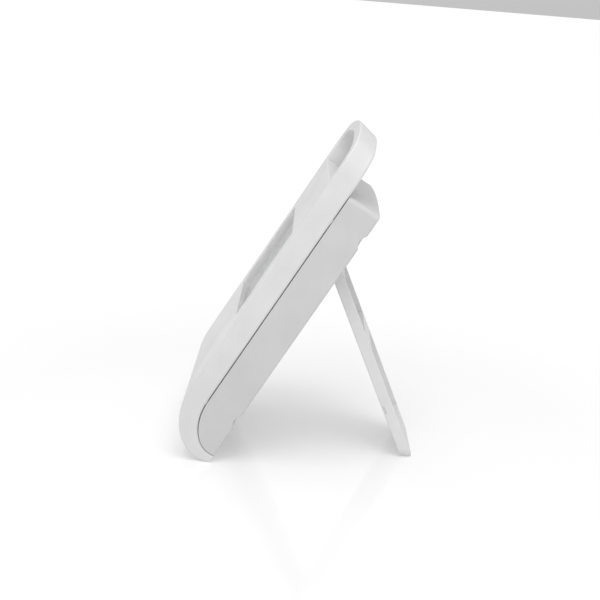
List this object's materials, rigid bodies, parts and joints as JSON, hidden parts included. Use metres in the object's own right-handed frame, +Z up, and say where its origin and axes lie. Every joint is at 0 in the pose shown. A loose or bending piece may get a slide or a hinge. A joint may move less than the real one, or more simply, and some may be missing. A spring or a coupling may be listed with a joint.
{
  "type": "battery desk display with rear stand",
  "caption": "Small battery display with a carrying loop above the screen, leaning back on a folding rear stand.",
  "frame": {"origin": "centre of the footprint on the surface it stands on", "axes": "+Z up, +Y towards the rear stand, +X to the right seen from the front"},
  "size_m": [0.062, 0.0706, 0.0998],
  "materials": {
    "front_plastic": "satin moulded white with a very fine spark texture",
    "case_plastic": "satin moulded white, fine texture",
    "stand_plastic": "satin moulded white, fine texture",
    "button_plastic": "satin grey",
    "screw_steel": "plated steel",
    "clear_window": "clear polished acrylic",
    "black_foam": "thin black foam tape",
    "lcd_glass": "grey-green display glass",
    "lcd_film": "silver reflecting film",
    "inner_plastic": "natural white moulding",
    "zebra_rubber": "striped conductive rubber",
    "circuit_board": "green solder mask",
    "black_resin": "potted resin",
    "crystal_can": "bright can",
    "capacitor_tan": "ceramic",
    "switch_black": "moulded",
    "battery_jacket": "printed steel jacket",
    "plated_contact": "nickel plated spring steel"
  },
  "bodies": {
    "body": {"front_frame": "front_plastic", "rear_case": "case_plastic", "case_screws": "screw_steel", "display_lens": "clear_window", "lens_tape": "black_foam", "lcd_glass": "lcd_glass", "lcd_reflector": "lcd_film", "lcd_holder": "inner_plastic", "zebra_strip": "zebra_rubber", "main_board": "circuit_board", "board_screws": "screw_steel", "controller_chip": "black_resin", "quartz_crystal": "crystal_can", "board_capacitors": "capacitor_tan", "button_switches": "switch_black", "battery_cell": "battery_jacket", "contact_positive": "plated_contact", "contact_spring": "plated_contact", "stand_pin": "screw_steel"},
    "stand": {"stand": "stand_plastic"},
    "door": {"battery_door": "case_plastic"},
    "button_upper": {"button_upper": "button_plastic"},
    "button_middle": {"button_middle": "button_plastic"},
    "button_lower": {"button_lower": "button_plastic"}
  },
  "joints": [
    {"name": "stand_fold", "type": "hinge", "parent": "body", "child": "stand", "pos_m": [0, 0.0058, 0.05982], "axis": [1, 0, 0], "range_deg": [-54.5, 0]},
    {"name": "door_lift", "type": "slide", "parent": "body", "child": "door", "axis": [0, 0.8704, -0.4924], "range_m": [0, 0.012]},
    {"name": "button_upper_press", "type": "slide", "parent": "body", "child": "button_upper", "axis": [0, -0.8704, 0.4924], "range_m": [0, 0.0008], "stiffness_N_per_m": 500},
    {"name": "button_middle_press", "type": "slide", "parent": "body", "child": "button_middle", "axis": [0, -0.8704, 0.4924], "range_m": [0, 0.0008], "stiffness_N_per_m": 500},
    {"name": "button_lower_press", "type": "slide", "parent": "body", "child": "button_lower", "axis": [0, -0.8704, 0.4924], "range_m": [0, 0.0008], "stiffness_N_per_m": 500}
  ]
}
